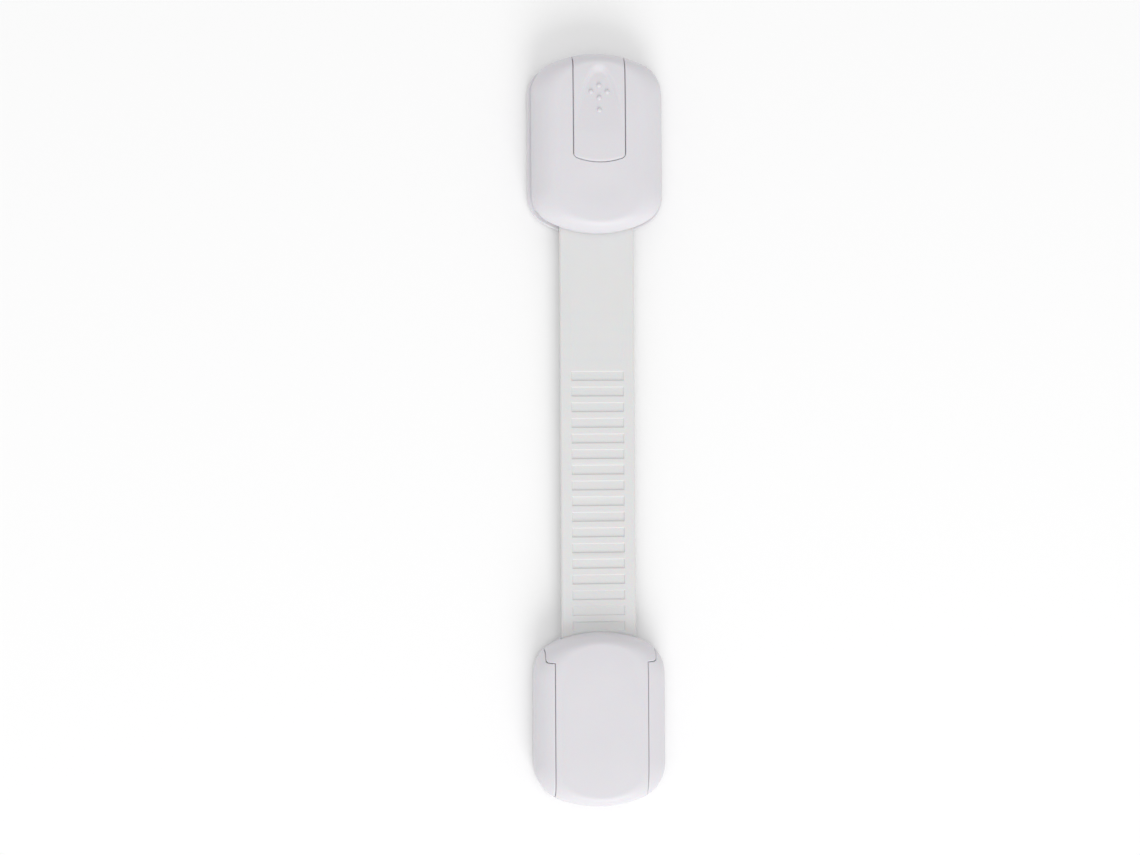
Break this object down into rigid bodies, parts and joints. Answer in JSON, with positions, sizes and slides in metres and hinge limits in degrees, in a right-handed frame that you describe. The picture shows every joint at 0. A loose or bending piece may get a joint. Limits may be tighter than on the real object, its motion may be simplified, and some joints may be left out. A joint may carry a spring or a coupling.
{
  "type": "child-safety strap latch",
  "caption": "Stick-on child-safety latch: push-button head that slides off a catch plate, flexible ladder strap, and an adjuster with a sliding cover, mounted on adhesive pads.",
  "frame": {"origin": "centre of the whole latch seen from above, on the plane of the adhesive pads' faces", "axes": "+Z away from the mounting surface, +Y along the strap towards the button head, +X across the strap"},
  "size_m": [0.0408, 0.2254, 0.0146],
  "materials": {
    "shell_plastic": "semi-gloss moulded white",
    "button_plastic": "semi-gloss moulded white",
    "strap_plastic": "soft satin white",
    "foam_pad": "matt foam with adhesive faces",
    "spring_steel": "rolled spring strip and wire",
    "zinc_steel": "zinc plated"
  },
  "bodies": {
    "catch_plate": {"release_adhesive_pad": "foam_pad", "catch_base": "shell_plastic", "catch_spring": "spring_steel", "catch_spring_rivet": "zinc_steel"},
    "latch_head": {"latch_floor": "shell_plastic", "latch_housing": "shell_plastic", "housing_screws": "zinc_steel", "button_pin": "zinc_steel", "button_spring": "spring_steel", "strap_anchor_end": "strap_plastic"},
    "button": {"release_button": "button_plastic"},
    "strap_link_1": {"strap_flex_1": "strap_plastic"},
    "strap_link_2": {"strap_flex_2": "strap_plastic"},
    "strap_link_3": {"strap_flex_3": "strap_plastic"},
    "strap_link_4": {"strap_flex_4": "strap_plastic"},
    "strap_link_5": {"strap_flex_5": "strap_plastic"},
    "strap_tail": {"strap_ladder": "strap_plastic"},
    "adjuster": {"adjuster_adhesive_pad": "foam_pad", "adjuster_base": "shell_plastic", "strap_pawl": "spring_steel", "pawl_rivets": "zinc_steel"},
    "adjuster_lid": {"adjuster_cover": "button_plastic"}
  },
  "joints": [
    {"name": "head_release", "type": "slide", "parent": "catch_plate", "child": "latch_head", "axis": [0, 1, 0], "range_m": [0, 0.028], "deforming": ["catch_spring"]},
    {"name": "button_press", "type": "hinge", "parent": "latch_head", "child": "button", "pos_m": [0, 0.0834, 0.0094], "axis": [1, 0, 0], "range_deg": [-4, 0], "stiffness_Nm_per_rad": 0.35, "springref_deg": 6.88, "deforming": ["button_spring", "catch_spring"]},
    {"name": "strap_bend_1", "type": "hinge", "parent": "latch_head", "child": "strap_link_1", "pos_m": [0, 0.0328, 0.0053], "axis": [1, 0, 0], "range_deg": [-15, 15], "stiffness_Nm_per_rad": 0.05},
    {"name": "strap_bend_2", "type": "hinge", "parent": "strap_link_1", "child": "strap_link_2", "pos_m": [0, 0.0281, 0.0053], "axis": [1, 0, 0], "range_deg": [-15, 15], "stiffness_Nm_per_rad": 0.05},
    {"name": "strap_bend_3", "type": "hinge", "parent": "strap_link_2", "child": "strap_link_3", "pos_m": [0, 0.0234, 0.0053], "axis": [1, 0, 0], "range_deg": [-15, 15], "stiffness_Nm_per_rad": 0.05},
    {"name": "strap_bend_4", "type": "hinge", "parent": "strap_link_3", "child": "strap_link_4", "pos_m": [0, 0.0187, 0.0053], "axis": [1, 0, 0], "range_deg": [-15, 15], "stiffness_Nm_per_rad": 0.05},
    {"name": "strap_bend_5", "type": "hinge", "parent": "strap_link_4", "child": "strap_link_5", "pos_m": [0, 0.014, 0.0053], "axis": [1, 0, 0], "range_deg": [-15, 15], "stiffness_Nm_per_rad": 0.05},
    {"name": "strap_bend_6", "type": "hinge", "parent": "strap_link_5", "child": "strap_tail", "pos_m": [0, 0.0093, 0.0053], "axis": [1, 0, 0], "range_deg": [-15, 15], "stiffness_Nm_per_rad": 0.05},
    {"name": "strap_adjust", "type": "slide", "parent": "strap_tail", "child": "adjuster", "axis": [0, 1, 0], "range_m": [0, 0.047], "deforming": ["strap_pawl"]},
    {"name": "cover_slide", "type": "slide", "parent": "adjuster", "child": "adjuster_lid", "axis": [0, 1, 0], "range_m": [0, 0.024]}
  ]
}
